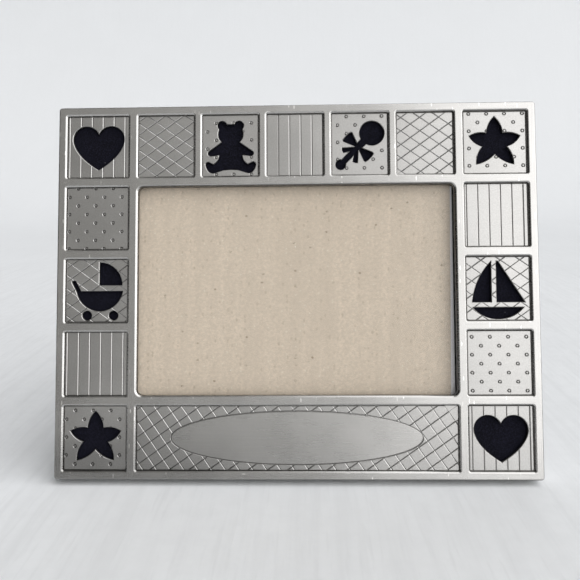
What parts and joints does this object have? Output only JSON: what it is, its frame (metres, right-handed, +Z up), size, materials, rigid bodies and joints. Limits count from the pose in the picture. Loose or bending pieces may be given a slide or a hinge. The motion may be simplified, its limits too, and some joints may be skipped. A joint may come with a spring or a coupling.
{
  "type": "baby photo frame",
  "caption": "Landscape cast metal photo frame with nursery cut-outs and patterned cells round its window, a removable back held by turn buttons, and a hinged easel leg.",
  "frame": {"origin": "middle of the bounding box's base, on the surface that the frame stands on", "axes": "+X to the viewer's right along the frame, +Y to the rear, +Z up; the face leans back 15 degrees and looks along -Y and up"},
  "size_m": [0.216, 0.0658, 0.165],
  "materials": {
    "pewter": "satin",
    "velvet": "matte",
    "hardboard": "matte",
    "clear_glass": "polished",
    "kraft_card": "matte",
    "steel": "satin"
  },
  "bodies": {
    "frame": {"front_casting": "pewter", "velvet_liner": "velvet", "backing_ring": "hardboard", "ring_felt": "velvet", "glass_pane": "clear_glass", "corrugated_filler": "kraft_card", "back_board": "hardboard", "board_felt": "velvet", "hinge_leaf_board": "steel", "hinge_pin": "steel", "board_rivet_1": "steel", "board_rivet_2": "steel", "button_screw_top_left": "steel", "button_screw_top_right": "steel", "button_screw_bottom_left": "steel", "button_screw_bottom_right": "steel"},
    "leg": {"easel_leg": "hardboard", "leg_felt": "velvet", "hinge_leaf_leg": "steel", "leg_rivet_1": "steel", "leg_rivet_2": "steel"},
    "button_top_left": {"turn_button_top_left": "steel"},
    "button_top_right": {"turn_button_top_right": "steel"},
    "button_bottom_left": {"turn_button_bottom_left": "steel"},
    "button_bottom_right": {"turn_button_bottom_right": "steel"}
  },
  "joints": [
    {"name": "leg_fold", "type": "hinge", "parent": "frame", "child": "leg", "pos_m": [0, 0.0114, 0.11746], "axis": [1, 0, 0], "range_deg": [-25, 0]},
    {"name": "turn_top_left", "type": "hinge", "parent": "frame", "child": "button_top_left", "pos_m": [-0.05195, 0.01468, 0.13635], "axis": [0, -0.9659, 0.2588], "continuous": true},
    {"name": "turn_top_right", "type": "hinge", "parent": "frame", "child": "button_top_right", "pos_m": [0.05195, 0.01468, 0.13635], "axis": [0, -0.9659, 0.2588], "continuous": true},
    {"name": "turn_bottom_left", "type": "hinge", "parent": "frame", "child": "button_bottom_left", "pos_m": [-0.05195, -0.01497, 0.02572], "axis": [0, -0.9659, 0.2588], "continuous": true},
    {"name": "turn_bottom_right", "type": "hinge", "parent": "frame", "child": "button_bottom_right", "pos_m": [0.05195, -0.01497, 0.02572], "axis": [0, -0.9659, 0.2588], "continuous": true}
  ]
}
